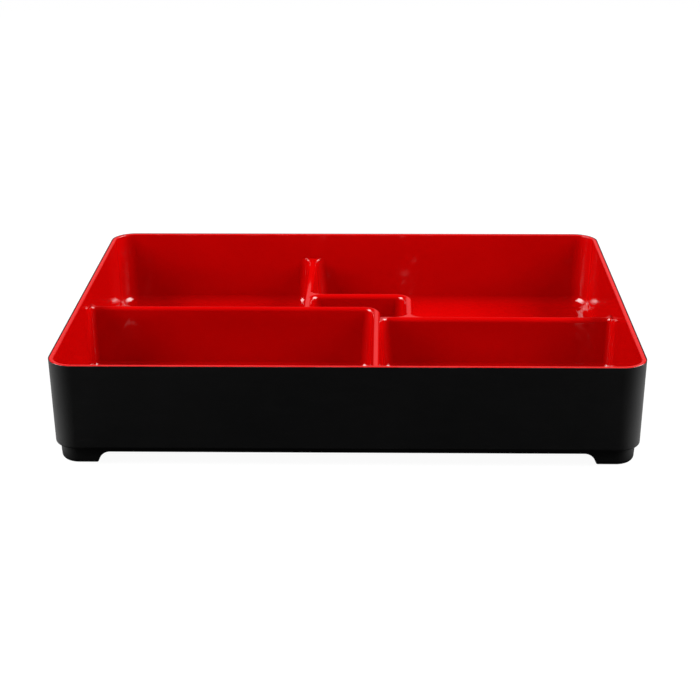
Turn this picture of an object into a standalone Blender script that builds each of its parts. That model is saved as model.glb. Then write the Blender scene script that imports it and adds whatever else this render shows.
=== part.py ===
"""Stackable bento box: a black outer shell on four corner feet, and a red tray with
five compartments that sits inside it, flush with its edge, and lifts straight out.

Metres, +Z up. The origin is on the table, under the middle of the box. +X runs along
the long side, and -Y is the front. An "inset" is a distance in from the outer edge of
the rim, measured level. Every outline is a rounded rectangle, or a compartment's plan.
"""

import math

import bmesh
import bpy
from mathutils import Matrix, Vector

MM = 0.001

# Overall form, measured over the rim
BOX_WIDTH = 310 * MM
BOX_DEPTH = 235 * MM
BOX_HEIGHT = 56.4 * MM
CORNER_RADIUS = 14.2 * MM
OUTER_DRAFT = math.radians(1.3)

# Shell
SHELL_WALL = 1.2 * MM
SHELL_FLOOR = 1.6 * MM
SHELL_FLOOR_FILLET = 5 * MM
SHELL_EDGE = 0.3 * MM  # the black line left standing round the tray's lip
SHELL_EDGE_ROUND = 0.15 * MM
REBATE_DEPTH = 1.5 * MM  # the step inside the edge that the tray's lip hangs on

# Shoulder, base and feet
SHOULDER_HEIGHT = 9.2 * MM  # from the table
SHOULDER_ROUND = 1.6 * MM
SKIRT_INSET = 3.4 * MM  # it clears the inner edge of the rim of a box stacked below
SKIRT_DRAFT = math.radians(3.7)
BASE_HEIGHT = 7.8 * MM
BASE_RIB = 0.4 * MM  # what the skirt stands down below the base between the feet
BASE_FILLET = 0.5 * MM
FOOT_THICKNESS = 8 * MM
FOOT_INNER_DRAFT = math.radians(5)
FOOT_REACH = 22.4 * MM  # from the box's side to the foot's end, along the ground
FOOT_END_SLOPE = math.radians(24)
FOOT_EDGE_ROUND = 2.8 * MM
FOOT_INNER_ROUND = 1 * MM
FOOT_END_ROUND = 3 * MM
ARCH_FILLET = 6 * MM
ARCH_SPREAD = 20 * MM  # under the feet the cut spreads and drops, so each end's rounding runs out
ARCH_SPREAD_DROP = 2 * MM
ARCH_DEPTH = 8 * MM  # below the table

# Tray
FIT_GAP = 0.3 * MM  # between the tray and the shell, all round and underneath
RIM_WIDTH = 2.75 * MM  # from the shell's outer edge to the tray's inner edge
LIP_ROUND = 0.5 * MM
RIM_ROUND = 0.6 * MM
TRAY_FLOOR = 1.4 * MM
WALL_DRAFT = math.radians(1.8)

# Dividers, moulded with the tray
TALL_DIVIDER_DROP = 10.2 * MM  # from the rim down to the tops of the left and front dividers
LOW_DIVIDER_DROP = 16.3 * MM  # the same for the others
DIVIDER_THICKNESS = 4.1 * MM  # at the tall dividers' top
DIVIDER_DRAFT = math.radians(4)
DIVIDER_CREST = 0.1 * MM  # the flat left on top between the rounded edges
DIVIDER_CORNER_RADIUS = 5.5 * MM  # in plan, where a divider meets another, or the front or back wall
SIDE_CORNER_RADIUS = 3.5 * MM  # the same at the left and right walls
LEAST_RADIUS = 0.5 * MM
RUN_OUT_START = 2 * MM
RUN_OUT_LENGTH = 6 * MM
FLOOR_FILLET = 3.8 * MM

# Centrelines of the dividers
FRONT_DIVIDER_X = 15 * MM
CROSS_DIVIDER_Y = 3.5 * MM
REAR_DIVIDER_X = -26.6 * MM
MIDDLE_BACK_Y = 44.3 * MM
MIDDLE_RIGHT_X = 34.1 * MM

# Steps that each arc is drawn in
CORNER_STEPS = 10
DIVIDER_CORNER_STEPS = 7
PROFILE_STEPS = 5
SMALL_STEPS = 3

SMOOTH_ANGLE = math.radians(35)
WELD = 0.01 * MM

FLOOR_HEIGHT = BASE_HEIGHT + SHELL_FLOOR
TRAY_HEIGHT = FLOOR_HEIGHT + FIT_GAP
POCKET_FLOOR = TRAY_HEIGHT + TRAY_FLOOR
TALL_TOP = BOX_HEIGHT - TALL_DIVIDER_DROP
LOW_TOP = BOX_HEIGHT - LOW_DIVIDER_DROP

LEFT_WALL = ("x", -BOX_WIDTH / 2, BOX_HEIGHT)
RIGHT_WALL = ("x", BOX_WIDTH / 2, BOX_HEIGHT)
FRONT_WALL = ("y", -BOX_DEPTH / 2, BOX_HEIGHT)
BACK_WALL = ("y", BOX_DEPTH / 2, BOX_HEIGHT)
FRONT_DIVIDER = ("x", FRONT_DIVIDER_X, TALL_TOP)
LEFT_DIVIDER = ("y", CROSS_DIVIDER_Y, TALL_TOP)
RIGHT_DIVIDER = ("y", CROSS_DIVIDER_Y, LOW_TOP)
REAR_DIVIDER = ("x", REAR_DIVIDER_X, LOW_TOP)
MIDDLE_BACK = ("y", MIDDLE_BACK_Y, LOW_TOP)
MIDDLE_RIGHT = ("x", MIDDLE_RIGHT_X, LOW_TOP)

# The sides of each compartment, anticlockwise from above
FRONT_LEFT = (FRONT_WALL, FRONT_DIVIDER, LEFT_DIVIDER, LEFT_WALL)
FRONT_RIGHT = (FRONT_WALL, RIGHT_WALL, RIGHT_DIVIDER, FRONT_DIVIDER)
REAR_LEFT = (LEFT_DIVIDER, REAR_DIVIDER, BACK_WALL, LEFT_WALL)
MIDDLE = (LEFT_DIVIDER, RIGHT_DIVIDER, MIDDLE_RIGHT, MIDDLE_BACK, REAR_DIVIDER)
REAR_RIGHT = (RIGHT_DIVIDER, RIGHT_WALL, BACK_WALL, REAR_DIVIDER, MIDDLE_BACK, MIDDLE_RIGHT)

# The room over the low dividers, round the corner that the two tall ones make
LOW_ROOM = (FRONT_WALL, RIGHT_WALL, BACK_WALL, LEFT_WALL, LEFT_DIVIDER, FRONT_DIVIDER)
LOW_POCKETS = (FRONT_RIGHT, REAR_LEFT, MIDDLE, REAR_RIGHT)


def rounded(corners, closed=False):
    """Points along a line whose corners, each (x, y, radius, steps), are rounded by arcs."""
    points = []
    last = len(corners) - 1
    for i, (x, y, radius, steps) in enumerate(corners):
        corner = Vector((x, y))
        if radius == 0 or (not closed and i in (0, last)):
            points.append(corner)
            continue
        back = (Vector(corners[i - 1][:2]) - corner).normalized()
        on = (Vector(corners[(i + 1) % len(corners)][:2]) - corner).normalized()
        half = back.angle(on) / 2
        centre = corner + (back + on).normalized() * (radius / math.sin(half))
        spoke = corner + back * (radius / math.tan(half)) - centre
        turn = math.copysign(math.pi - 2 * half, on.cross(back))
        for step in range(steps + 1):
            points.append(centre + Matrix.Rotation(turn * step / steps, 2) @ spoke)
    return points


def sloped(height, slope):
    """How far a face with this slope from upright leans over this height."""
    return height * math.tan(slope)


def shell_outside(z):
    """Inset of the shell's outer wall."""
    return sloped(BOX_HEIGHT - z, OUTER_DRAFT)


def shell_inside(z):
    """Inset of the shell's inner wall."""
    return SHELL_WALL + shell_outside(z)


def tray_outside(z):
    """Inset of the tray's outer wall, which runs parallel to the shell's."""
    return shell_inside(z) + FIT_GAP


def tray_inside(z):
    """Inset of the tray's inner wall."""
    return RIM_WIDTH + sloped(BOX_HEIGHT - z, WALL_DRAFT)


def divider_side(z):
    """Distance of a divider's side from its centreline, the same for the tall and the low ones."""
    return DIVIDER_THICKNESS / 2 + sloped(TALL_TOP - z, DIVIDER_DRAFT)


def skirt_outside(z):
    """Inset of the skirt under the shoulder, and of the feet."""
    return SKIRT_INSET + sloped(SHOULDER_HEIGHT - z, SKIRT_DRAFT)


def foot_inside(z):
    """Inset of the inner face of the feet."""
    return SKIRT_INSET + FOOT_THICKNESS - sloped(BASE_HEIGHT - z, FOOT_INNER_DRAFT)


def box_outline(inset, z, stops=()):
    """The rounded rectangle at this inset, with a point at each stop along its sides.

    A stop is (side, place), the sides counted anticlockwise from the front.
    """
    half_x = BOX_WIDTH / 2 - inset
    half_y = BOX_DEPTH / 2 - inset
    radius = CORNER_RADIUS - inset
    signs = ((-1, -1), (1, -1), (1, 1), (-1, 1))
    corners = []
    for side, (sign_x, sign_y) in enumerate(signs):
        corners.append((half_x * sign_x, half_y * sign_y, radius, CORNER_STEPS))
        places = sorted((place for at, place in stops if at == side), reverse=side > 1)
        for place in places:
            if side % 2 == 0:
                corners.append((place, half_y * sign_y, 0, 0))
            else:
                corners.append((half_x * sign_x, place, 0, 0))
    return [Vector((x, y, z)) for x, y in rounded(corners, closed=True)]


def flare(top, radius):
    """How far from a divider's centreline the rounding where it meets a wall runs out."""
    return divider_side(top) + radius


def both_ways(place, top, radius):
    """The two places where a divider's flared end runs out."""
    return [place - flare(top, radius), place + flare(top, radius)]


def crest_corner(top):
    """The corner between a divider's top and its side, rounded but for the crest."""
    side = divider_side(top)
    radius = (side - DIVIDER_CREST / 2) * math.tan(math.pi / 4 + DIVIDER_DRAFT / 2)
    return (side, top, radius, PROFILE_STEPS)


def pocket_profile(top):
    """The side of a divider from its crest down to the floor of the pocket.

    Each point is (distance from the centreline, height).
    """
    foot = divider_side(POCKET_FLOOR)
    line = (
        (0, top, 0, 0),
        crest_corner(top),
        (foot, POCKET_FLOOR, FLOOR_FILLET, PROFILE_STEPS),
        (foot + 2 * FLOOR_FILLET, POCKET_FLOOR, 0, 0),
    )
    return rounded(line)[1:-1]


def plan_corner(side, after, offsets, z, turns_out):
    """The radius of a compartment's corner in plan, and the steps it is drawn in."""
    if side[2] == after[2] == BOX_HEIGHT:
        return CORNER_RADIUS - offsets[side], CORNER_STEPS
    moved = min(offsets[one] for one in (side, after) if one[2] < BOX_HEIGHT) - divider_side(z)
    if turns_out:
        return DIVIDER_CORNER_RADIUS + 2 * divider_side(z) + moved, DIVIDER_CORNER_STEPS
    at_side_wall = LEFT_WALL in (side, after) or RIGHT_WALL in (side, after)
    radius = SIDE_CORNER_RADIUS if at_side_wall else DIVIDER_CORNER_RADIUS
    return max(radius - moved, LEAST_RADIUS), DIVIDER_CORNER_STEPS


def pocket_outline(sides, top, distance, z, stops=None):
    """The plan of a compartment, where the dividers that end at its top stand this far from
    their centrelines. Walls and taller dividers keep their own line above the fillet at the floor.

    The stops give a side more points. Where a low divider carries on the line of a tall one,
    the rounding of its edge starts with a run-out.
    """
    fillet = max(0, distance - divider_side(z))
    offsets = {}
    for side in sides:
        if side[2] == BOX_HEIGHT:
            offsets[side] = tray_inside(z) + fillet
        elif side[2] > top:
            offsets[side] = divider_side(z) + fillet
        else:
            offsets[side] = distance
    count = len(sides)
    bare = []
    for i, side in enumerate(sides):
        after = sides[(i + 1) % count]
        place = {"x": FRONT_DIVIDER_X, side[0]: side[1], after[0]: after[1]}
        bare.append(Vector((place["x"], place["y"])))
    corners = []
    for i, side in enumerate(sides):
        after = sides[(i + 1) % count]
        along = (bare[i] - bare[i - 1]).normalized()
        onward = (bare[(i + 1) % count] - bare[i]).normalized()
        inward = along.orthogonal()
        places = (stops or {}).get(side, [])
        for place in sorted(places, reverse=along.x + along.y < 0):
            at = (place, bare[i].y) if side[0] == "y" else (bare[i].x, place)
            corners.append((*(Vector(at) + inward * offsets[side]), 0, 0))
        if side[0] == after[0]:
            start = bare[i] - along * flare(LOW_TOP, DIVIDER_CORNER_RADIUS)
            corners.append((*(start + inward * offsets[side]), 0, 0))
            for step in range(PROFILE_STEPS + 1):
                done = step / PROFILE_STEPS
                eased = done * done * (3 - 2 * done)
                offset = offsets[side] + (offsets[after] - offsets[side]) * eased
                on = RUN_OUT_START + RUN_OUT_LENGTH * done
                corners.append((*(start + along * on + inward * offset), 0, 0))
            continue
        corner = bare[i] + inward * offsets[side] + onward.orthogonal() * offsets[after]
        turns_out = along.cross(onward) < 0
        corners.append((*corner, *plan_corner(side, after, offsets, z, turns_out)))
    return [Vector((x, y, z)) for x, y in rounded(corners, closed=True)]


def extruded(bm, outlines):
    """Pushes a face through outlines of as many points each. Returns its first and last place."""
    start = [bm.verts.new(point) for point in outlines[0]]
    face = bm.faces.new(start)
    for outline in outlines[1:]:
        face = bmesh.ops.extrude_discrete_faces(bm, faces=[face])["faces"][0]
        for vert, point in zip(face.verts, outline):
            vert.co = point
    return start, face


def plastic(name, colour, roughness):
    material = bpy.data.materials.new(name)
    material.use_nodes = True
    shader = material.node_tree.nodes["Principled BSDF"]
    shader.inputs["Base Color"].default_value = (*colour, 1)
    shader.inputs["Roughness"].default_value = roughness
    shader.inputs["Metallic"].default_value = 0
    return material


def add_part(name, bm, material, collection):
    """Closes the mesh, points its faces out and shades its round parts smooth."""
    bmesh.ops.remove_doubles(bm, verts=bm.verts, dist=WELD)
    bmesh.ops.recalc_face_normals(bm, faces=bm.faces)
    mesh = bpy.data.meshes.new(name)
    bm.to_mesh(mesh)
    bm.free()
    mesh.materials.append(material)
    mesh.shade_smooth()
    mesh.set_sharp_from_angle(angle=SMOOTH_ANGLE)
    part = bpy.data.objects.new(name, mesh)
    collection.objects.link(part)
    return part


def arch_cutter(name, half_length, turn, collection):
    """A long bar, as wide as the arch between two feet, that cuts both opposite skirts.

    Its outline is drawn on edge: across, then up.
    """
    arch_top = BASE_HEIGHT - BASE_RIB
    foot_end = half_length - FOOT_REACH
    arch_end = foot_end - sloped(arch_top, FOOT_END_SLOPE)
    half = [
        (arch_end, arch_top, ARCH_FILLET, PROFILE_STEPS),
        (foot_end, 0, FOOT_END_ROUND, SMALL_STEPS),
        (foot_end + ARCH_SPREAD, -ARCH_SPREAD_DROP, 0, 0),
        (foot_end + ARCH_SPREAD, -ARCH_DEPTH, 0, 0),
    ]
    other = [(-x, z, radius, steps) for x, z, radius, steps in reversed(half)]
    curve = bpy.data.curves.new(name, "CURVE")
    curve.dimensions = "2D"
    curve.fill_mode = "BOTH"
    curve.extrude = BOX_WIDTH
    outline = rounded(half + other, closed=True)
    spline = curve.splines.new("POLY")
    spline.points.add(len(outline) - 1)
    for point, (x, z) in zip(spline.points, outline):
        point.co = (x, z, 0, 1)
    spline.use_cyclic_u = True
    drawn = bpy.data.objects.new(name + "_outline", curve)
    drawn.matrix_world = Matrix.Rotation(turn, 4, "Z") @ Matrix.Rotation(math.pi / 2, 4, "X")
    collection.objects.link(drawn)
    bpy.context.view_layer.update()
    solid = drawn.evaluated_get(bpy.context.evaluated_depsgraph_get())
    mesh = bpy.data.meshes.new_from_object(solid)
    bm = bmesh.new()
    bm.from_mesh(mesh)
    bmesh.ops.remove_doubles(bm, verts=bm.verts, dist=WELD)
    bmesh.ops.recalc_face_normals(bm, faces=bm.faces)
    bm.to_mesh(mesh)
    bm.free()
    cutter = bpy.data.objects.new(name, mesh)
    cutter.matrix_world = drawn.matrix_world
    cutter.hide_render = True
    cutter.display_type = "WIRE"
    collection.objects.link(cutter)
    bpy.data.objects.remove(drawn)
    return cutter


def build_shell(parts, cutters):
    """The shell: base, skirt, shoulder, wall, edge, rebate and inner floor in one profile.

    The profile runs from the middle of the underside out, up and back in to the floor.
    """
    base_edge = foot_inside(BASE_HEIGHT)
    ledge_height = BOX_HEIGHT - REBATE_DEPTH
    rebate_inside = SHELL_EDGE + shell_outside(ledge_height)
    floor_edge = shell_inside(FLOOR_HEIGHT)
    profile = rounded((
        (base_edge + 2 * BASE_FILLET, BASE_HEIGHT, 0, 0),
        (base_edge, BASE_HEIGHT, BASE_FILLET, SMALL_STEPS),
        (foot_inside(0), 0, FOOT_INNER_ROUND, SMALL_STEPS),
        (skirt_outside(0), 0, FOOT_EDGE_ROUND, PROFILE_STEPS),
        (SKIRT_INSET, SHOULDER_HEIGHT, 0, 0),
        (shell_outside(SHOULDER_HEIGHT), SHOULDER_HEIGHT, SHOULDER_ROUND, PROFILE_STEPS),
        (0, BOX_HEIGHT, SHELL_EDGE_ROUND, SMALL_STEPS),
        (SHELL_EDGE, BOX_HEIGHT, 0, 0),
        (rebate_inside, ledge_height, 0, 0),
        (shell_inside(ledge_height), ledge_height, 0, 0),
        (floor_edge, FLOOR_HEIGHT, SHELL_FLOOR_FILLET, PROFILE_STEPS),
        (floor_edge + 2 * SHELL_FLOOR_FILLET, FLOOR_HEIGHT, 0, 0),
    ))[:-1]
    bm = bmesh.new()
    underside, _ = extruded(bm, [box_outline(inset, z) for inset, z in profile])
    bm.faces.new(underside)
    shell = add_part("outer_shell", bm, plastic("black_plastic", (0.006, 0.006, 0.007), 0.32), parts)
    arches = {"front_and_back_arches": (BOX_WIDTH / 2, 0), "side_arches": (BOX_DEPTH / 2, math.pi / 2)}
    for name, (half_length, turn) in arches.items():
        cut = shell.modifiers.new(name, "BOOLEAN")
        cut.operation = "DIFFERENCE"
        cut.solver = "EXACT"
        cut.object = arch_cutter(name, half_length, turn, cutters)


def build_tray(parts):
    """The tray: one skin from the underside up over the lip and down to the tall dividers' tops.

    From there the front left pocket goes down to its floor, and the room over the low
    dividers down to their tops, where the other pockets start. Then the tops are filled in.
    """
    lip_outside = SHELL_EDGE + FIT_GAP
    lip_underside = BOX_HEIGHT - REBATE_DEPTH + FIT_GAP
    floor_edge = tray_outside(TRAY_HEIGHT)
    outer_fillet = SHELL_FLOOR_FILLET - FIT_GAP
    profile = rounded((
        (floor_edge + 2 * outer_fillet, TRAY_HEIGHT, 0, 0),
        (floor_edge, TRAY_HEIGHT, outer_fillet, PROFILE_STEPS),
        (tray_outside(lip_underside), lip_underside, 0, 0),
        (lip_outside, lip_underside, 0, 0),
        (lip_outside, BOX_HEIGHT, LIP_ROUND, SMALL_STEPS),
        (RIM_WIDTH, BOX_HEIGHT, RIM_ROUND, PROFILE_STEPS),
        (tray_inside(TALL_TOP), TALL_TOP, 0, 0),
    ))[1:]
    bm = bmesh.new()
    stops = [(0, place) for place in both_ways(FRONT_DIVIDER_X, TALL_TOP, DIVIDER_CORNER_RADIUS)]
    stops += [(3, place) for place in both_ways(CROSS_DIVIDER_Y, TALL_TOP, SIDE_CORNER_RADIUS)]
    underside, mouth = extruded(bm, [box_outline(inset, z, stops) for inset, z in profile])
    bm.faces.new(underside)
    beside_rear_divider = both_ways(REAR_DIVIDER_X, LOW_TOP, DIVIDER_CORNER_RADIUS)
    room_stops = {
        RIGHT_WALL: both_ways(CROSS_DIVIDER_Y, LOW_TOP, SIDE_CORNER_RADIUS),
        BACK_WALL: beside_rear_divider,
        LEFT_DIVIDER: beside_rear_divider,
    }
    room_profile = rounded((
        (0, TALL_TOP, 0, 0),
        crest_corner(TALL_TOP),
        (divider_side(LOW_TOP), LOW_TOP, 0, 0),
    ))[1:]
    room = [pocket_outline(LOW_ROOM, TALL_TOP, distance, z, room_stops) for distance, z in room_profile]
    _, room_floor = extruded(bm, room)
    bmesh.ops.delete(bm, geom=[mouth, room_floor], context="FACES_ONLY")
    pockets = [(FRONT_LEFT, TALL_TOP)] + [(sides, LOW_TOP) for sides in LOW_POCKETS]
    for sides, top in pockets:
        extruded(bm, [pocket_outline(sides, top, distance, z) for distance, z in pocket_profile(top)])
    bmesh.ops.remove_doubles(bm, verts=bm.verts, dist=WELD)
    for top in (TALL_TOP, LOW_TOP):
        edges = [edge for edge in bm.edges if edge.is_boundary and abs(edge.verts[0].co.z - top) < WELD]
        bmesh.ops.triangle_fill(bm, use_beauty=True, edges=edges, normal=(0, 0, 1))
    add_part("compartment_tray", bm, plastic("red_plastic", (0.62, 0.002, 0.003), 0.16), parts)


def main():
    for old in list(bpy.data.objects):
        bpy.data.objects.remove(old)
    parts = bpy.data.collections.new("bento_box")
    cutters = bpy.data.collections.new("cutters")
    for collection in (parts, cutters):
        bpy.context.scene.collection.children.link(collection)
    build_shell(parts, cutters)
    build_tray(parts)


main()
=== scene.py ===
"""Studio picture of the bento box: a satin black shell and a glossy red tray.

Metres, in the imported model's frame: the origin is on the table under the middle of the box,
+X runs along the long side, and -Y is the front. An "inset" is a distance in from the outer
edge of the rim, measured level.
"""

import math
from collections import namedtuple

import bmesh
import bpy
from mathutils import Matrix, Vector


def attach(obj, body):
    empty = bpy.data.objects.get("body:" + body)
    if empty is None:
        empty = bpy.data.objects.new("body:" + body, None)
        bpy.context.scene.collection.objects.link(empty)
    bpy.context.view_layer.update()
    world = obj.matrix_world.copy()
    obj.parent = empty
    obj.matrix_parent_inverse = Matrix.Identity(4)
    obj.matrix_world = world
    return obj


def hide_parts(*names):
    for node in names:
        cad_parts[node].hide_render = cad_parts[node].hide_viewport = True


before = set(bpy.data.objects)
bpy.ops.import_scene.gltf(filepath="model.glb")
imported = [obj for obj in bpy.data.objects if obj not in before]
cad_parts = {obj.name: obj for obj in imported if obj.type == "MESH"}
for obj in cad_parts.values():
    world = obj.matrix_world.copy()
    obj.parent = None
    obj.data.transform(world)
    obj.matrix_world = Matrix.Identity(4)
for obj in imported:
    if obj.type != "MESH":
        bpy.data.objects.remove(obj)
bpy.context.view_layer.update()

MM = 0.001

# Overall form, measured over the rim
BOX_WIDTH = 310 * MM
BOX_DEPTH = 235 * MM
BOX_HEIGHT = 56.4 * MM
CORNER_RADIUS = 14.2 * MM
OUTER_DRAFT = math.radians(1.3)

# Shell
SHELL_WALL = 1.2 * MM
SHELL_FLOOR = 1.2 * MM
SHELL_FLOOR_FILLET = 5 * MM
SHELL_EDGE = 0.2 * MM
SHELL_EDGE_ROUND = 0.1 * MM
REBATE_DEPTH = 1.5 * MM

# Shoulder, base and feet
SHOULDER_HEIGHT = 9.2 * MM
SHOULDER_ROUND = 1.6 * MM
SKIRT_INSET = 3.4 * MM
SKIRT_DRAFT = math.radians(3.7)
BASE_HEIGHT = 7.8 * MM
BASE_RIB = 0.8 * MM
BASE_FILLET = 0.5 * MM
FOOT_THICKNESS = 8 * MM
FOOT_INNER_DRAFT = math.radians(5)
FOOT_REACH = 24 * MM
FOOT_END_SLOPE = math.radians(24)
FOOT_EDGE_ROUND = 2.8 * MM
FOOT_INNER_ROUND = 1 * MM
FOOT_END_ROUND = 3 * MM
ARCH_FILLET = 6 * MM

# The bars that cut the arches, where they spread out under the feet
CUTTER_SPREAD = 20 * MM
CUTTER_UPPER_SIDE = -2 * MM
CUTTER_UNDERSIDE = -8 * MM

# Tray
FIT_GAP = 0.3 * MM
LIP_GAP = 0.08 * MM  # round the lip, where the two moulded edges all but touch
RIM_WIDTH = 2.75 * MM
LIP_ROUND = 0.7 * MM
RIM_ROUND = 0.6 * MM
TRAY_FLOOR = 1.0 * MM
WALL_DRAFT = math.radians(1.8)

# Dividers
TALL_DIVIDER_DROP = 10.2 * MM
LOW_DIVIDER_DROP = 16.3 * MM
DIVIDER_THICKNESS = 4.1 * MM
DIVIDER_DRAFT = math.radians(4)
DIVIDER_CREST = 0.1 * MM
END_FILLET = 3 * MM  # where a divider's top meets a wall
DIVIDER_CORNER_RADIUS = 5.5 * MM
SIDE_CORNER_RADIUS = 3.5 * MM
LEAST_RADIUS = 0.5 * MM
RUN_OUT_START = 2 * MM
RUN_OUT_LENGTH = 6 * MM
FLOOR_FILLET = 3.8 * MM
REAR_FLOOR_FILLET = 6 * MM
CORNER_FLOOR_FILLET = 7 * MM
FRONT_DIVIDER_X = 15 * MM
CROSS_DIVIDER_Y = 3.5 * MM
REAR_DIVIDER_X = -26.6 * MM
MIDDLE_BACK_Y = 44.3 * MM
MIDDLE_RIGHT_X = 34.1 * MM

# Steps that each arc is drawn in
CORNER_STEPS = 28
DIVIDER_CORNER_STEPS = 18
PROFILE_STEPS = 10
END_STEPS = 8
SMALL_STEPS = 5

SMOOTH_ANGLE = math.radians(35)
FLAT_FACE_WEIGHT = 100  # in full: the largest face at an edge sets its shading
WELD = 0.002 * MM

FLOOR_HEIGHT = BASE_HEIGHT + SHELL_FLOOR
TRAY_HEIGHT = FLOOR_HEIGHT + FIT_GAP
POCKET_FLOOR = TRAY_HEIGHT + TRAY_FLOOR
TALL_TOP = BOX_HEIGHT - TALL_DIVIDER_DROP
LOW_TOP = BOX_HEIGHT - LOW_DIVIDER_DROP

# The box's own sides, counted anticlockwise from the front
FRONT_SIDE = 0
LEFT_SIDE = 3

# A wall or a divider: the axis across it, the place of its line on that axis and its height
Side = namedtuple("Side", "axis place top")
LEFT_WALL = Side("x", -BOX_WIDTH / 2, BOX_HEIGHT)
RIGHT_WALL = Side("x", BOX_WIDTH / 2, BOX_HEIGHT)
FRONT_WALL = Side("y", -BOX_DEPTH / 2, BOX_HEIGHT)
BACK_WALL = Side("y", BOX_DEPTH / 2, BOX_HEIGHT)
FRONT_DIVIDER = Side("x", FRONT_DIVIDER_X, TALL_TOP)
LEFT_DIVIDER = Side("y", CROSS_DIVIDER_Y, TALL_TOP)
RIGHT_DIVIDER = Side("y", CROSS_DIVIDER_Y, LOW_TOP)
REAR_DIVIDER = Side("x", REAR_DIVIDER_X, LOW_TOP)
MIDDLE_BACK = Side("y", MIDDLE_BACK_Y, LOW_TOP)
MIDDLE_RIGHT = Side("x", MIDDLE_RIGHT_X, LOW_TOP)

# The sides of each compartment, anticlockwise from above
FRONT_LEFT = (FRONT_WALL, FRONT_DIVIDER, LEFT_DIVIDER, LEFT_WALL)
FRONT_RIGHT = (FRONT_WALL, RIGHT_WALL, RIGHT_DIVIDER, FRONT_DIVIDER)
REAR_LEFT = (LEFT_DIVIDER, REAR_DIVIDER, BACK_WALL, LEFT_WALL)
MIDDLE = (LEFT_DIVIDER, RIGHT_DIVIDER, MIDDLE_RIGHT, MIDDLE_BACK, REAR_DIVIDER)
REAR_RIGHT = (RIGHT_DIVIDER, RIGHT_WALL, BACK_WALL, REAR_DIVIDER, MIDDLE_BACK, MIDDLE_RIGHT)

# The room over the low dividers, round the corner that the two tall ones make
LOW_ROOM = (FRONT_WALL, RIGHT_WALL, BACK_WALL, LEFT_WALL, LEFT_DIVIDER, FRONT_DIVIDER)
LOW_POCKETS = (FRONT_RIGHT, REAR_LEFT, MIDDLE, REAR_RIGHT)

# Camera, fitted to the rim's four sides and corners in the photograph
CAMERA_PLACE = (0.018782, -0.871117, 0.355101)
CAMERA_PITCH = math.radians(20.991)
CAMERA_YAW = math.radians(1.2651)
CAMERA_ROLL = math.radians(-0.2594)
CAMERA_LENS = 81.87
CAMERA_SENSOR = 36

# Lamps: azimuth clockwise from the back and elevation in degrees, distance, size and radiance
LAMP_TARGET = Vector((0, 0, 0.03))
SOFTBOXES = {
    "left_softbox": (-96, 36, 1.5, (1.1, 0.9), 14),
    "right_softbox": (88, 38, 1.5, (1.25, 0.9), 14),
    "front_fill": (180, 6, 1.5, (1.6, 0.26), 6),
}

# The room that the box sees. Its backdrop fades in, from none to full, between these parts of
# a direction's length: up from its foot, down from its top, in from its sides and to the back.
BACKDROP_COLOUR = (0.9, 0.3, 0.3, 1)
ROOM_COLOUR = (0.01, 0.01, 0.01, 1)
WHITE = (1, 1, 1, 1)
BACKDROP_FOOT = (math.sin(math.radians(9)), math.sin(math.radians(14)))
BACKDROP_TOP = (math.sin(math.radians(28)), math.sin(math.radians(22)))
BACKDROP_SIDES = (0.6, 0.3)
BACKDROP_BACK = (0.3, 0.6)

# Floor. For the camera this share of it is its own glow, and the rest is lit by the lamps.
FLOOR_PALE = (0.8, 0.8, 0.8, 1)
FLOOR_DARK = (0.02, 0.02, 0.02, 1)
FLOOR_ROUGHNESS = 0.9
FLOOR_GLOW = 1.05
FLOOR_GLOW_SHARE = 0.9
FLOOR_REACH = 1.4

# The paler floor at the box's left and right that the shell mirrors: how much more it glows,
# and where it fades in, from none to full, next to the box, from afar and from the front
SIDE_GLOW = 0.6
SIDE_GLOW_NEAR = (0.15, 0.17)
SIDE_GLOW_FAR = (0.5, 0.25)
SIDE_GLOW_FRONT = (-0.16, -0.11)

# Surfaces: grains to the metre, and between which levels of the noise a mark comes up
CLOUD_GRAIN = 14
CLOUD_DETAIL = 3.0
PATCH_GRAIN = 70
PATCH_DETAIL = 4.0
NOISE_LEVELS = (0.3, 0.7)
SCRATCH_GRAIN = (45, 2600, 2600)
SCRATCH_DETAIL = 1.0
SCRATCH_LEVELS = (0.64, 0.7)
SCRATCH_TURNS = (math.radians(24), math.radians(102))
SCRATCH_DULLNESS = 0.08
SCRATCH_DEPTH = 0.6
WORN_LEVELS = (0.42, 0.62)
WORN_COLOUR_SHARE = 0.5
WORN_DULLNESS = 0.16
PEEL_DETAIL = 2.0

# The sockets of a Mix node that blends colours
MIX_INPUTS = (0, 6, 7)
MIX_OUTPUT = 2


def rounded(corners, closed=False):
    """Points along a line whose corners, each (x, y, radius, steps), are rounded by arcs."""
    points = []
    last = len(corners) - 1
    for i, (x, y, radius, steps) in enumerate(corners):
        corner = Vector((x, y))
        if radius == 0 or (not closed and i in (0, last)):
            points.append(corner)
            continue
        back = (Vector(corners[i - 1][:2]) - corner).normalized()
        on = (Vector(corners[(i + 1) % len(corners)][:2]) - corner).normalized()
        half = back.angle(on) / 2
        centre = corner + (back + on).normalized() * (radius / math.sin(half))
        spoke = corner + back * (radius / math.tan(half)) - centre
        turn = math.copysign(math.pi - 2 * half, on.cross(back))
        for step in range(steps + 1):
            points.append(centre + Matrix.Rotation(turn * step / steps, 2) @ spoke)
    return points


def sloped(height, slope):
    """How far a face with this slope from upright leans over this height."""
    return height * math.tan(slope)


def shell_outside(z):
    """Inset of the shell's outer wall."""
    return sloped(BOX_HEIGHT - z, OUTER_DRAFT)


def shell_inside(z):
    """Inset of the shell's inner wall."""
    return SHELL_WALL + shell_outside(z)


def tray_outside(z):
    """Inset of the tray's outer wall, which runs parallel to the shell's."""
    return shell_inside(z) + FIT_GAP


def tray_inside(z):
    """Inset of the tray's inner wall."""
    return RIM_WIDTH + sloped(BOX_HEIGHT - z, WALL_DRAFT)


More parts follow.
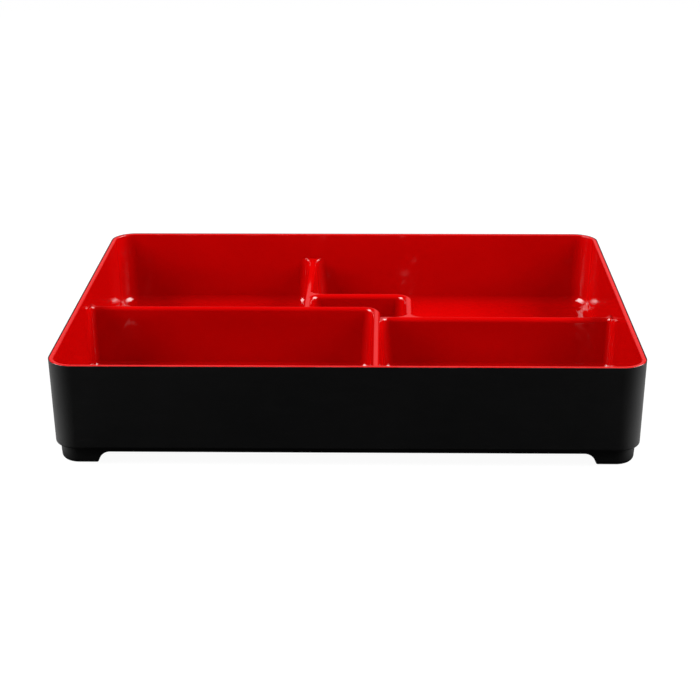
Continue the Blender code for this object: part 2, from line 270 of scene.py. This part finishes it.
def divider_side(z):
    """Distance of a divider's side from its centreline, the same for the tall and the low ones."""
    return DIVIDER_THICKNESS / 2 + sloped(TALL_TOP - z, DIVIDER_DRAFT)


def skirt_outside(z):
    """Inset of the skirt under the shoulder, and of the feet."""
    return SKIRT_INSET + sloped(SHOULDER_HEIGHT - z, SKIRT_DRAFT)


def foot_inside(z):
    """Inset of the inner face of the feet."""
    return SKIRT_INSET + FOOT_THICKNESS - sloped(BASE_HEIGHT - z, FOOT_INNER_DRAFT)


def box_outline(inset, z, stops=()):
    """The rounded rectangle at this inset, with a point at each stop along its sides.

    A stop is (side, place), the sides counted anticlockwise from the front.
    """
    half_x = BOX_WIDTH / 2 - inset
    half_y = BOX_DEPTH / 2 - inset
    radius = CORNER_RADIUS - inset
    signs = ((-1, -1), (1, -1), (1, 1), (-1, 1))
    corners = []
    for side, (sign_x, sign_y) in enumerate(signs):
        corners.append((half_x * sign_x, half_y * sign_y, radius, CORNER_STEPS))
        places = sorted((place for at, place in stops if at == side), reverse=side > 1)
        for place in places:
            if side % 2 == 0:
                corners.append((place, half_y * sign_y, 0, 0))
            else:
                corners.append((half_x * sign_x, place, 0, 0))
    return [Vector((x, y, z)) for x, y in rounded(corners, closed=True)]


def flare(top, radius):
    """How far from a divider's centreline the rounding where it meets a wall runs out."""
    return divider_side(top) + radius


def both_ways(place, top, radius):
    """The two places where a divider's flared end runs out."""
    return [place - flare(top, radius), place + flare(top, radius)]


def crest_corner(top):
    """The corner between a divider's top and its side, rounded but for the crest."""
    side = divider_side(top)
    radius = (side - DIVIDER_CREST / 2) * math.tan(math.pi / 4 + DIVIDER_DRAFT / 2)
    return (side, top, radius, PROFILE_STEPS)


def pocket_profile(top, fillet):
    """The side of a divider from its crest down to the floor of the pocket.

    Each point is (distance from the centreline, height).
    """
    foot = divider_side(POCKET_FLOOR)
    line = (
        (0, top, 0, 0),
        crest_corner(top),
        (foot, POCKET_FLOOR, fillet, PROFILE_STEPS),
        (foot + 2 * fillet, POCKET_FLOOR, 0, 0),
    )
    return rounded(line)[1:-1]


def plan_corner(side, after, offsets, z, turns_out):
    """The radius of a compartment's corner in plan, and the steps it is drawn in."""
    if side.top == after.top == BOX_HEIGHT:
        return CORNER_RADIUS - offsets[side], CORNER_STEPS
    moved = min(offsets[one] for one in (side, after) if one.top < BOX_HEIGHT) - divider_side(z)
    if turns_out:
        return DIVIDER_CORNER_RADIUS + 2 * divider_side(z) + moved, DIVIDER_CORNER_STEPS
    at_side_wall = LEFT_WALL in (side, after) or RIGHT_WALL in (side, after)
    radius = SIDE_CORNER_RADIUS if at_side_wall else DIVIDER_CORNER_RADIUS
    return max(radius - moved, LEAST_RADIUS), DIVIDER_CORNER_STEPS


def side_offsets(sides, top, distance, z):
    """How far each side of a compartment stands in from its line at this height.

    Dividers that end at the compartment's top stand this distance from their centrelines.
    Walls and taller dividers keep their own slope, above the fillet at the floor.
    """
    fillet = max(0, distance - divider_side(z))
    offsets = {}
    for side in sides:
        if side.top == BOX_HEIGHT:
            offsets[side] = tray_inside(z) + fillet
        elif side.top > top:
            offsets[side] = divider_side(z) + fillet
        else:
            offsets[side] = distance
    return offsets


def bare_corners(sides):
    """Where the line of each side meets the line of the next.

    Two dividers on one line meet where the front divider runs into them.
    """
    corners = []
    for side, after in zip(sides, (*sides[1:], sides[0])):
        place = {"x": FRONT_DIVIDER_X, side.axis: side.place, after.axis: after.place}
        corners.append(Vector((place["x"], place["y"])))
    return corners


def run_out(start, along, inward, offset, next_offset):
    """The edge of a compartment where a low divider carries on the line of a tall one."""
    corners = [(*(start + inward * offset), 0, 0)]
    for step in range(PROFILE_STEPS + 1):
        done = step / PROFILE_STEPS
        eased = done * done * (3 - 2 * done)
        moved = offset + (next_offset - offset) * eased
        on = RUN_OUT_START + RUN_OUT_LENGTH * done
        corners.append((*(start + along * on + inward * moved), 0, 0))
    return corners


def pocket_outline(sides, top, distance, z, stops=None):
    """The plan of a compartment at one height, where its own dividers are this far from their
    centrelines. The stops give a side more points, by their places along it.
    """
    offsets = side_offsets(sides, top, distance, z)
    bare = bare_corners(sides)
    corners = []
    for i, side in enumerate(sides):
        following = (i + 1) % len(sides)
        after = sides[following]
        along = (bare[i] - bare[i - 1]).normalized()
        onward = (bare[following] - bare[i]).normalized()
        inward = along.orthogonal()
        places = (stops or {}).get(side, [])
        for place in sorted(places, reverse=along.x + along.y < 0):
            at = (place, bare[i].y) if side.axis == "y" else (bare[i].x, place)
            corners.append((*(Vector(at) + inward * offsets[side]), 0, 0))
        if side.axis == after.axis:
            start = bare[i] - along * flare(LOW_TOP, DIVIDER_CORNER_RADIUS)
            corners += run_out(start, along, inward, offsets[side], offsets[after])
            continue
        corner = bare[i] + inward * offsets[side] + onward.orthogonal() * offsets[after]
        turns_out = along.cross(onward) < 0
        corners.append((*corner, *plan_corner(side, after, offsets, z, turns_out)))
    return [Vector((x, y, z)) for x, y in rounded(corners, closed=True)]


def corner_share(point):
    """From 0 where the box's sides are straight to 1 on the diagonals of its corners."""
    across = abs(point.x) - (BOX_WIDTH / 2 - CORNER_RADIUS)
    along = abs(point.y) - (BOX_DEPTH / 2 - CORNER_RADIUS)
    if min(across, along) <= 0:
        return 0
    return math.sin(2 * math.atan2(along, across)) ** 2


def pocket_outlines(sides, top):
    """A compartment from its crest to its floor, with a wider fillet in the box's own corners."""
    fillet = REAR_FLOOR_FILLET if sides in (REAR_LEFT, REAR_RIGHT) else FLOOR_FILLET
    levels = zip(pocket_profile(top, fillet), pocket_profile(top, CORNER_FLOOR_FILLET))
    outlines = []
    for level, wide_level in levels:
        outline = pocket_outline(sides, top, *level)
        wide = pocket_outline(sides, top, *wide_level)
        outlines.append([near.lerp(far, corner_share(near)) for near, far in zip(outline, wide)])
    return outlines


def extruded(bm, outlines):
    """Pushes a face through outlines of as many points each. Returns its first and last place."""
    start = [bm.verts.new(point) for point in outlines[0]]
    face = bm.faces.new(start)
    for outline in outlines[1:]:
        face = bmesh.ops.extrude_discrete_faces(bm, faces=[face])["faces"][0]
        for vert, point in zip(face.verts, outline):
            vert.co = point
    return start, face


def curve_end(bm, divider, wall_axis, wall_line, inward, radius):
    """Curves a divider's top up into the wall that it ends at.

    The wall's line is its place at the height of the top, inward points away from it, and
    the radius is that of the divider's flare there.
    """
    across, out = "xy".index(divider.axis), "xy".index(wall_axis)
    top = divider.top
    crest_start = top - crest_corner(top)[2]
    reach = flare(top, radius)

    def share(co):
        """How much of the lift a point takes: none at the ends of the flare or below the crest."""
        aside = 1 - abs(co[across] - divider.place) / reach
        raised = (co.z - crest_start) / (top - crest_start)
        if min(aside, raised) <= 0 or co.z > top + WELD:
            return 0
        return math.sin(min(aside, 1) * math.pi / 2) ** 2 * min(raised, 1) ** 2

    def gap(co):
        """How far a point is from the wall."""
        return (co[out] - wall_line) * inward

    for step in range(1, END_STEPS + 1):
        distance = END_FILLET * (1 - math.cos(math.pi / 2 * step / END_STEPS))
        faces = [
            face for face in bm.faces
            if any(share(vert.co) > 0 and gap(vert.co) < END_FILLET for vert in face.verts)
            and all(vert.co.z < top + WELD and gap(vert.co) > -WELD for vert in face.verts)
        ]
        edges = {edge for face in faces for edge in face.edges}
        verts = {vert for face in faces for vert in face.verts}
        point, normal = Vector(), Vector()
        point[out] = wall_line + distance * inward
        normal[out] = inward
        bmesh.ops.bisect_plane(
            bm, geom=[*verts, *edges, *faces], dist=WELD, plane_co=point, plane_no=normal)
    for vert in bm.verts:
        away = gap(vert.co)
        if -WELD < away < END_FILLET and share(vert.co) > 0:
            left = END_FILLET - max(away, 0)
            lift = (END_FILLET - math.sqrt(END_FILLET ** 2 - left ** 2)) * share(vert.co)
            vert.co.z += lift
            vert.co[out] -= sloped(lift, WALL_DRAFT) * inward


def add_piece(name, bm, material):
    """Closes the mesh, points its faces out and gives it its material."""
    bmesh.ops.remove_doubles(bm, verts=bm.verts, dist=WELD)
    bmesh.ops.recalc_face_normals(bm, faces=bm.faces)
    mesh = bpy.data.meshes.new(name)
    bm.to_mesh(mesh)
    bm.free()
    mesh.materials.append(material)
    piece = bpy.data.objects.new(name, mesh)
    bpy.context.scene.collection.objects.link(piece)
    return piece


def shade(piece):
    """Shades the round parts smooth, with the flat faces kept flat."""
    piece.data.shade_smooth()
    piece.data.set_sharp_from_angle(angle=SMOOTH_ANGLE)
    weighted = piece.modifiers.new("weighted_normals", "WEIGHTED_NORMAL")
    weighted.keep_sharp = True
    weighted.weight = FLAT_FACE_WEIGHT


def settle(piece):
    """Bakes the piece's modifiers into its mesh."""
    bpy.context.view_layer.update()
    evaluated = piece.evaluated_get(bpy.context.evaluated_depsgraph_get())
    mesh = bpy.data.meshes.new_from_object(evaluated)
    piece.modifiers.clear()
    piece.data = mesh


def arch_cutter(name, half_length, turn):
    """A long bar, as wide as the arch between two feet, that cuts both opposite skirts.

    Its outline is seen from its end: across, then up.
    """
    arch_top = BASE_HEIGHT - BASE_RIB
    foot_end = half_length - FOOT_REACH
    arch_end = foot_end - sloped(arch_top, FOOT_END_SLOPE)
    half = [
        (arch_end, arch_top, ARCH_FILLET, PROFILE_STEPS),
        (foot_end, 0, FOOT_END_ROUND, SMALL_STEPS),
        (foot_end + CUTTER_SPREAD, CUTTER_UPPER_SIDE, 0, 0),
        (foot_end + CUTTER_SPREAD, CUTTER_UNDERSIDE, 0, 0),
    ]
    other = [(-x, z, radius, steps) for x, z, radius, steps in reversed(half)]
    outline = rounded(half + other, closed=True)
    bm = bmesh.new()
    rings = [[Vector((x, y, z)) for x, z in outline] for y in (-BOX_WIDTH, BOX_WIDTH)]
    start, _ = extruded(bm, rings)
    bm.faces.new(start)
    bmesh.ops.recalc_face_normals(bm, faces=bm.faces)
    bmesh.ops.rotate(bm, verts=bm.verts, matrix=Matrix.Rotation(turn, 3, "Z"))
    mesh = bpy.data.meshes.new(name)
    bm.to_mesh(mesh)
    bm.free()
    cutter = bpy.data.objects.new(name, mesh)
    bpy.context.scene.collection.objects.link(cutter)
    return cutter


def build_shell(material):
    """The shell: base, skirt, shoulder, wall, edge, rebate and inner floor in one profile."""
    base_edge = foot_inside(BASE_HEIGHT)
    ledge_height = BOX_HEIGHT - REBATE_DEPTH
    rebate_inside = SHELL_EDGE + shell_outside(ledge_height)
    floor_edge = shell_inside(FLOOR_HEIGHT)
    profile = rounded((
        (base_edge + 2 * BASE_FILLET, BASE_HEIGHT, 0, 0),
        (base_edge, BASE_HEIGHT, BASE_FILLET, SMALL_STEPS),
        (foot_inside(0), 0, FOOT_INNER_ROUND, SMALL_STEPS),
        (skirt_outside(0), 0, FOOT_EDGE_ROUND, PROFILE_STEPS),
        (SKIRT_INSET, SHOULDER_HEIGHT, 0, 0),
        (shell_outside(SHOULDER_HEIGHT), SHOULDER_HEIGHT, SHOULDER_ROUND, PROFILE_STEPS),
        (0, BOX_HEIGHT, SHELL_EDGE_ROUND, SMALL_STEPS),
        (SHELL_EDGE, BOX_HEIGHT, 0, 0),
        (rebate_inside, ledge_height, 0, 0),
        (shell_inside(ledge_height), ledge_height, 0, 0),
        (floor_edge, FLOOR_HEIGHT, SHELL_FLOOR_FILLET, PROFILE_STEPS),
        (floor_edge + 2 * SHELL_FLOOR_FILLET, FLOOR_HEIGHT, 0, 0),
    ))[:-1]
    bm = bmesh.new()
    underside, _ = extruded(bm, [box_outline(inset, z) for inset, z in profile])
    bm.faces.new(underside)
    shell = add_piece("shell_moulding", bm, material)
    cutters = [
        arch_cutter("front_and_back_arches", BOX_WIDTH / 2, 0),
        arch_cutter("side_arches", BOX_DEPTH / 2, math.pi / 2),
    ]
    for cutter in cutters:
        cut = shell.modifiers.new(cutter.name, "BOOLEAN")
        cut.operation = "DIFFERENCE"
        cut.solver = "EXACT"
        cut.object = cutter
    settle(shell)
    for cutter in cutters:
        bpy.data.objects.remove(cutter)
    shade(shell)
    return shell


def tray_profile():
    """The tray from the middle of its underside up over the lip to the tall dividers' tops."""
    lip_outside = SHELL_EDGE + LIP_GAP
    lip_underside = BOX_HEIGHT - REBATE_DEPTH + FIT_GAP
    floor_edge = tray_outside(TRAY_HEIGHT)
    outer_fillet = SHELL_FLOOR_FILLET - FIT_GAP
    return rounded((
        (floor_edge + 2 * outer_fillet, TRAY_HEIGHT, 0, 0),
        (floor_edge, TRAY_HEIGHT, outer_fillet, PROFILE_STEPS),
        (tray_outside(lip_underside), lip_underside, 0, 0),
        (lip_outside, lip_underside, 0, 0),
        (lip_outside, BOX_HEIGHT, LIP_ROUND, SMALL_STEPS),
        (RIM_WIDTH, BOX_HEIGHT, RIM_ROUND, PROFILE_STEPS),
        (tray_inside(TALL_TOP), TALL_TOP, 0, 0),
    ))[1:]


def low_room_outlines():
    """The room over the low dividers, from the tall dividers' tops down to the low ones'."""
    beside_rear_divider = both_ways(REAR_DIVIDER_X, LOW_TOP, DIVIDER_CORNER_RADIUS)
    stops = {
        RIGHT_WALL: both_ways(CROSS_DIVIDER_Y, LOW_TOP, SIDE_CORNER_RADIUS),
        BACK_WALL: beside_rear_divider,
        LEFT_DIVIDER: beside_rear_divider,
    }
    profile = rounded((
        (0, TALL_TOP, 0, 0),
        crest_corner(TALL_TOP),
        (divider_side(LOW_TOP), LOW_TOP, 0, 0),
    ))[1:]
    return [pocket_outline(LOW_ROOM, TALL_TOP, distance, z, stops) for distance, z in profile]


def fill_top(bm, top):
    """Fills in the tops of the dividers of one height, between the pockets."""
    edges = [
        edge for edge in bm.edges
        if edge.is_boundary and abs(edge.verts[0].co.z - top) < WELD
    ]
    bmesh.ops.triangle_fill(bm, use_beauty=True, edges=edges, normal=(0, 0, 1))


def build_tray(material):
    """The tray as one skin: the outside, the room over the low dividers, then the pockets."""
    bm = bmesh.new()
    at_front = both_ways(FRONT_DIVIDER_X, TALL_TOP, DIVIDER_CORNER_RADIUS)
    at_left = both_ways(CROSS_DIVIDER_Y, TALL_TOP, SIDE_CORNER_RADIUS)
    stops = [(FRONT_SIDE, place) for place in at_front] + [(LEFT_SIDE, place) for place in at_left]
    outside = [box_outline(inset, z, stops) for inset, z in tray_profile()]
    underside, mouth = extruded(bm, outside)
    bm.faces.new(underside)
    _, room_floor = extruded(bm, low_room_outlines())
    bmesh.ops.delete(bm, geom=[mouth, room_floor], context="FACES_ONLY")
    extruded(bm, pocket_outlines(FRONT_LEFT, TALL_TOP))
    for sides in LOW_POCKETS:
        extruded(bm, pocket_outlines(sides, LOW_TOP))
    bmesh.ops.remove_doubles(bm, verts=bm.verts, dist=WELD)
    fill_top(bm, TALL_TOP)
    fill_top(bm, LOW_TOP)

    at_tall, at_low = tray_inside(TALL_TOP), tray_inside(LOW_TOP)
    behind_cross_divider = CROSS_DIVIDER_Y + divider_side(LOW_TOP)
    curve_end(bm, FRONT_DIVIDER, "y", at_tall - BOX_DEPTH / 2, 1, DIVIDER_CORNER_RADIUS)
    curve_end(bm, LEFT_DIVIDER, "x", at_tall - BOX_WIDTH / 2, 1, SIDE_CORNER_RADIUS)
    curve_end(bm, RIGHT_DIVIDER, "x", BOX_WIDTH / 2 - at_low, -1, SIDE_CORNER_RADIUS)
    curve_end(bm, REAR_DIVIDER, "y", BOX_DEPTH / 2 - at_low, -1, DIVIDER_CORNER_RADIUS)
    curve_end(bm, REAR_DIVIDER, "y", behind_cross_divider, 1, DIVIDER_CORNER_RADIUS)
    tray = add_piece("tray_moulding", bm, material)
    shade(tray)
    return tray


def feed(tree, socket, value):
    """Links or sets an input of a node."""
    if isinstance(value, bpy.types.NodeSocket):
        tree.links.new(value, socket)
    else:
        socket.default_value = value


def add_node(tree, kind, **values):
    """A shader node whose inputs are fed by name, with _ for a space."""
    node = tree.nodes.new("ShaderNode" + kind)
    for name, value in values.items():
        feed(tree, node.inputs[name.replace("_", " ")], value)
    return node


def node_math(tree, operation, *values):
    """A math node fed by numbers or sockets. Returns its output."""
    node = tree.nodes.new("ShaderNodeMath")
    node.operation = operation
    for socket, value in zip(node.inputs, values):
        feed(tree, socket, value)
    return node.outputs[0]


def node_fade(tree, value, ends, results=(0.0, 1.0)):
    """Goes smoothly from the first result to the second as the value goes between the ends."""
    node = tree.nodes.new("ShaderNodeMapRange")
    node.interpolation_type = "SMOOTHSTEP"
    names = ("Value", "From Min", "From Max", "To Min", "To Max")
    for name, fed in zip(names, (value, *ends, *results)):
        feed(tree, node.inputs[name], fed)
    return node.outputs["Result"]


def node_product(tree, first, *others):
    """All these values multiplied."""
    product = first
    for other in others:
        product = node_math(tree, "MULTIPLY", product, other)
    return product


def node_noise(tree, where, scale, detail, stretch=None, turn=0.0):
    """Noise with this many grains to the metre. A stretch, the grains along each of its turned
    axes at a scale of 1, draws it out into streaks.
    """
    if stretch:
        mapping = add_node(tree, "Mapping", Vector=where, Rotation=(0, 0, turn), Scale=stretch)
        where = mapping.outputs["Vector"]
    noise = add_node(tree, "TexNoise", Vector=where, Scale=scale, Detail=detail)
    return noise.outputs["Fac"]


def node_blend(tree, share, first, second):
    """The colour between these two."""
    node = tree.nodes.new("ShaderNodeMix")
    node.data_type = "RGBA"
    for index, value in zip(MIX_INPUTS, (share, first, second)):
        feed(tree, node.inputs[index], value)
    return node.outputs[MIX_OUTPUT]


def node_mix(tree, share, first, second):
    """The shader between these two."""
    node = tree.nodes.new("ShaderNodeMixShader")
    for socket, value in zip(node.inputs, (share, first, second)):
        feed(tree, socket, value)
    return node.outputs["Shader"]


def moulded_plastic(name, shades, shine, gloss, peel, worn_heights, worn_colour):
    """A moulded plastic with cloudy colour, uneven gloss, a fine surface and light wear.

    The shades are its darkest and lightest colour, shine is how much it reflects seen from
    straight on, and gloss is its lowest and highest roughness. The peel is (grains to the
    metre, depth). Fine scratches run over it both ways. Worn heights are (clean, worn) pairs:
    between them the edges get rubbed dull in patches.
    """
    material = bpy.data.materials.new(name)
    material.use_nodes = True
    tree = material.node_tree
    shader = tree.nodes["Principled BSDF"]
    where = add_node(tree, "TexCoord").outputs["Object"]
    height = add_node(tree, "SeparateXYZ", Vector=where).outputs["Z"]

    clouds = node_noise(tree, where, CLOUD_GRAIN, CLOUD_DETAIL)
    patches = node_noise(tree, where, PATCH_GRAIN, PATCH_DETAIL)
    scratches = 0.0
    for turn in SCRATCH_TURNS:
        streaks = node_noise(tree, where, 1.0, SCRATCH_DETAIL, SCRATCH_GRAIN, turn)
        fine = node_fade(tree, streaks, SCRATCH_LEVELS)
        scratches = node_math(tree, "MAXIMUM", scratches, fine)
    worn = 0.0
    for heights in worn_heights:
        worn = node_math(tree, "MAXIMUM", worn, node_fade(tree, height, heights))
    worn = node_product(tree, worn, node_fade(tree, patches, WORN_LEVELS))

    even = node_fade(tree, clouds, NOISE_LEVELS)
    colour = node_blend(tree, even, (*shades[0], 1), (*shades[1], 1))
    rubbed = node_product(tree, worn, WORN_COLOUR_SHARE)
    colour = node_blend(tree, rubbed, colour, (*worn_colour, 1))
    feed(tree, shader.inputs["Base Color"], colour)
    feed(tree, shader.inputs["Specular IOR Level"], shine)

    dullness = node_fade(tree, patches, NOISE_LEVELS, gloss)
    dullness = node_math(tree, "MULTIPLY_ADD", scratches, SCRATCH_DULLNESS, dullness)
    dullness = node_math(tree, "MULTIPLY_ADD", worn, WORN_DULLNESS, dullness)
    feed(tree, shader.inputs["Roughness"], dullness)

    grains, depth = peel
    surface = node_noise(tree, where, grains, PEEL_DETAIL)
    surface = node_math(tree, "MULTIPLY_ADD", scratches, -SCRATCH_DEPTH, surface)
    bump = add_node(tree, "Bump", Height=surface, Strength=1.0, Distance=depth)
    feed(tree, shader.inputs["Normal"], bump.outputs["Normal"])
    return material


def add_softbox(name, azimuth, elevation, distance, size, radiance):
    """A rectangular lamp that faces the box."""
    turn, rise = math.radians(azimuth), math.radians(elevation)
    place = distance * Vector((
        math.sin(turn) * math.cos(rise), math.cos(turn) * math.cos(rise), math.sin(rise)))
    light = bpy.data.lights.new(name, "AREA")
    light.shape = "RECTANGLE"
    light.size, light.size_y = size
    light.energy = math.pi * size[0] * size[1] * radiance
    lamp = bpy.data.objects.new(name, light)
    lamp.location = place
    lamp.rotation_euler = (LAMP_TARGET - place).to_track_quat("-Z", "Y").to_euler()
    bpy.context.scene.collection.objects.link(lamp)
    return lamp


def add_camera():
    """The camera at its place, turned by its yaw, pitch and roll."""
    pitch, yaw = CAMERA_PITCH, CAMERA_YAW
    ahead = Vector((
        -math.sin(yaw) * math.cos(pitch), math.cos(yaw) * math.cos(pitch), -math.sin(pitch)))
    right = Vector((math.cos(yaw), math.sin(yaw), 0))
    up = right.cross(ahead)
    tilt = Matrix.Rotation(CAMERA_ROLL, 3, -ahead)
    right, up = tilt @ right, tilt @ up
    data = bpy.data.cameras.new("camera")
    data.lens = CAMERA_LENS
    data.sensor_width = CAMERA_SENSOR
    camera = bpy.data.objects.new("camera", data)
    turn = Matrix((right, up, -ahead)).transposed()
    camera.matrix_world = Matrix.Translation(CAMERA_PLACE) @ turn.to_4x4()
    bpy.context.scene.collection.objects.link(camera)
    bpy.context.scene.camera = camera


def add_world():
    """White for the camera. The box sees a dim room with a pale red backdrop low behind it."""
    world = bpy.data.worlds.new("studio")
    bpy.context.scene.world = world
    world.use_nodes = True
    tree = world.node_tree
    tree.nodes.clear()
    direction = add_node(tree, "TexCoord").outputs["Generated"]
    along = add_node(tree, "SeparateXYZ", Vector=direction).outputs
    backdrop = node_product(
        tree,
        node_fade(tree, along["Z"], BACKDROP_FOOT),
        node_fade(tree, along["Z"], BACKDROP_TOP),
        node_fade(tree, node_math(tree, "ABSOLUTE", along["X"]), BACKDROP_SIDES),
        node_fade(tree, along["Y"], BACKDROP_BACK),
    )
    colour = node_blend(tree, backdrop, ROOM_COLOUR, BACKDROP_COLOUR)
    room = add_node(tree, "Background", Color=colour).outputs["Background"]
    white = add_node(tree, "Background", Color=WHITE).outputs["Background"]
    seen = add_node(tree, "LightPath").outputs["Is Camera Ray"]
    add_node(tree, "OutputWorld", Surface=node_mix(tree, seen, room, white))


def add_floor():
    """White paper. The camera sees it lit from below but for a faint shadow.

    It throws little light back onto the box, whose gloss shows only the paler floor at the
    box's left and right.
    """
    bm = bmesh.new()
    bmesh.ops.create_grid(bm, x_segments=1, y_segments=1, size=FLOOR_REACH)
    mesh = bpy.data.meshes.new("floor")
    bm.to_mesh(mesh)
    bm.free()
    floor = bpy.data.objects.new("floor", mesh)
    material = bpy.data.materials.new("floor_paper")
    material.use_nodes = True
    tree = material.node_tree
    shader = tree.nodes["Principled BSDF"]
    shader.inputs["Roughness"].default_value = FLOOR_ROUGHNESS
    shader.inputs["Specular IOR Level"].default_value = 0
    path = add_node(tree, "LightPath").outputs
    seen = path["Is Camera Ray"]
    feed(tree, shader.inputs["Base Color"], node_blend(tree, seen, FLOOR_DARK, FLOOR_PALE))
    place = add_node(tree, "TexCoord").outputs["Object"]
    along = add_node(tree, "SeparateXYZ", Vector=place).outputs
    aside = node_math(tree, "ABSOLUTE", along["X"])
    beside = node_product(
        tree,
        node_fade(tree, aside, SIDE_GLOW_NEAR),
        node_fade(tree, aside, SIDE_GLOW_FAR),
        node_fade(tree, along["Y"], SIDE_GLOW_FRONT),
    )
    mirrored = node_product(tree, path["Is Glossy Ray"], beside)
    strength = node_math(tree, "MULTIPLY_ADD", mirrored, SIDE_GLOW, FLOOR_GLOW)
    glow = add_node(tree, "Emission", Strength=strength).outputs["Emission"]
    lit = node_product(tree, node_math(tree, "MAXIMUM", seen, mirrored), FLOOR_GLOW_SHARE)
    paper = node_mix(tree, lit, shader.outputs["BSDF"], glow)
    feed(tree, tree.nodes["Material Output"].inputs["Surface"], paper)
    mesh.materials.append(material)
    bpy.context.scene.collection.objects.link(floor)


satin_black = moulded_plastic(
    "satin_black",
    shades=((0.0011, 0.0011, 0.0012), (0.0017, 0.0017, 0.0018)),
    shine=0.34,
    gloss=(0.54, 0.58),
    peel=(2400, 0.02 * MM),
    worn_heights=((2.5 * MM, 0.5 * MM), (55.9 * MM, 56.3 * MM)),
    worn_colour=(0.016, 0.016, 0.016),
)
gloss_red = moulded_plastic(
    "gloss_red",
    shades=((0.38, 0.0004, 0.0005), (0.42, 0.0008, 0.0008)),
    shine=0.5,
    gloss=(0.05, 0.09),
    peel=(320, 0.004 * MM),
    worn_heights=((55.4 * MM, 56.3 * MM),),
    worn_colour=(0.45, 0.012, 0.012),
)
shell = build_shell(satin_black)
tray = build_tray(gloss_red)
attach(shell, "shell")
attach(tray, "tray")
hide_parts("outer_shell")
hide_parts("compartment_tray")

add_camera()
add_world()
add_floor()
lamps = {name: add_softbox(name, *settings) for name, settings in SOFTBOXES.items()}
lamps["front_fill"].visible_glossy = False  # the shell's front wall mirrors no lamp

bpy.context.scene.view_settings.view_transform = "Standard"
